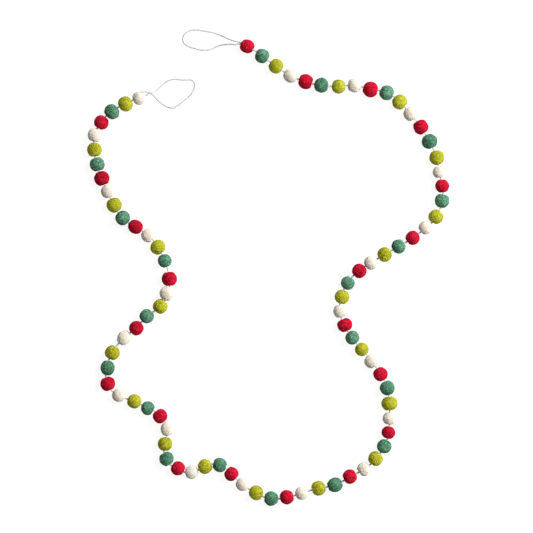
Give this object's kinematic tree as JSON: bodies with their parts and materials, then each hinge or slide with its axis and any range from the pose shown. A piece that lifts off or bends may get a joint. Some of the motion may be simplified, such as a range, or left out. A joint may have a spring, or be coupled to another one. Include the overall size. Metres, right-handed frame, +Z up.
{
  "type": "felt ball garland",
  "caption": "Garland of round wool felt balls in cream, lime, teal and red on a cotton string with a hanging loop at each end, laid flat in a wavy ring.",
  "frame": {"origin": "on the surface the garland lies on, under the middle of the box around the balls", "axes": "+Z up from the surface, +Y along the longer side of the laid garland, towards its two ends"},
  "size_m": [0.4831, 0.6364, 0.0211],
  "materials": {
    "felt_cream": "matt fuzzy wool felt",
    "felt_lime": "matt fuzzy wool felt",
    "felt_teal": "matt fuzzy wool felt",
    "felt_red": "matt fuzzy wool felt",
    "string": "twisted cotton string"
  },
  "bodies": {
    "root": {"cream_lime_01": "felt_cream", "teal_red_01": "felt_teal", "cream_lime_02": "felt_lime", "teal_red_02": "felt_red", "cream_lime_03": "felt_cream", "teal_red_03": "felt_teal", "cream_lime_04": "felt_lime", "teal_red_04": "felt_red", "cream_lime_05": "felt_cream", "teal_red_05": "felt_teal", "cream_lime_06": "felt_lime", "teal_red_06": "felt_red", "cream_lime_07": "felt_cream", "teal_red_07": "felt_teal", "cream_lime_08": "felt_lime", "teal_red_08": "felt_red", "cream_lime_09": "felt_cream", "teal_red_09": "felt_teal", "cream_lime_10": "felt_lime", "teal_red_10": "felt_red", "cream_lime_11": "felt_cream", "teal_red_11": "felt_teal", "cream_lime_12": "felt_lime", "teal_red_12": "felt_red", "cream_lime_13": "felt_cream", "teal_red_13": "felt_teal", "cream_lime_14": "felt_lime", "teal_red_14": "felt_red", "cream_lime_15": "felt_cream", "teal_red_15": "felt_teal", "cream_lime_16": "felt_lime", "teal_red_16": "felt_red", "cream_lime_17": "felt_cream", "teal_red_17": "felt_teal", "cream_lime_18": "felt_lime", "teal_red_18": "felt_red", "cream_lime_19": "felt_cream", "teal_red_19": "felt_teal", "cream_lime_20": "felt_lime", "teal_red_20": "felt_red", "cream_lime_21": "felt_cream", "teal_red_21": "felt_teal", "string_loop_left": "string", "string_loop_right": "string"}
  },
  "joints": []
}
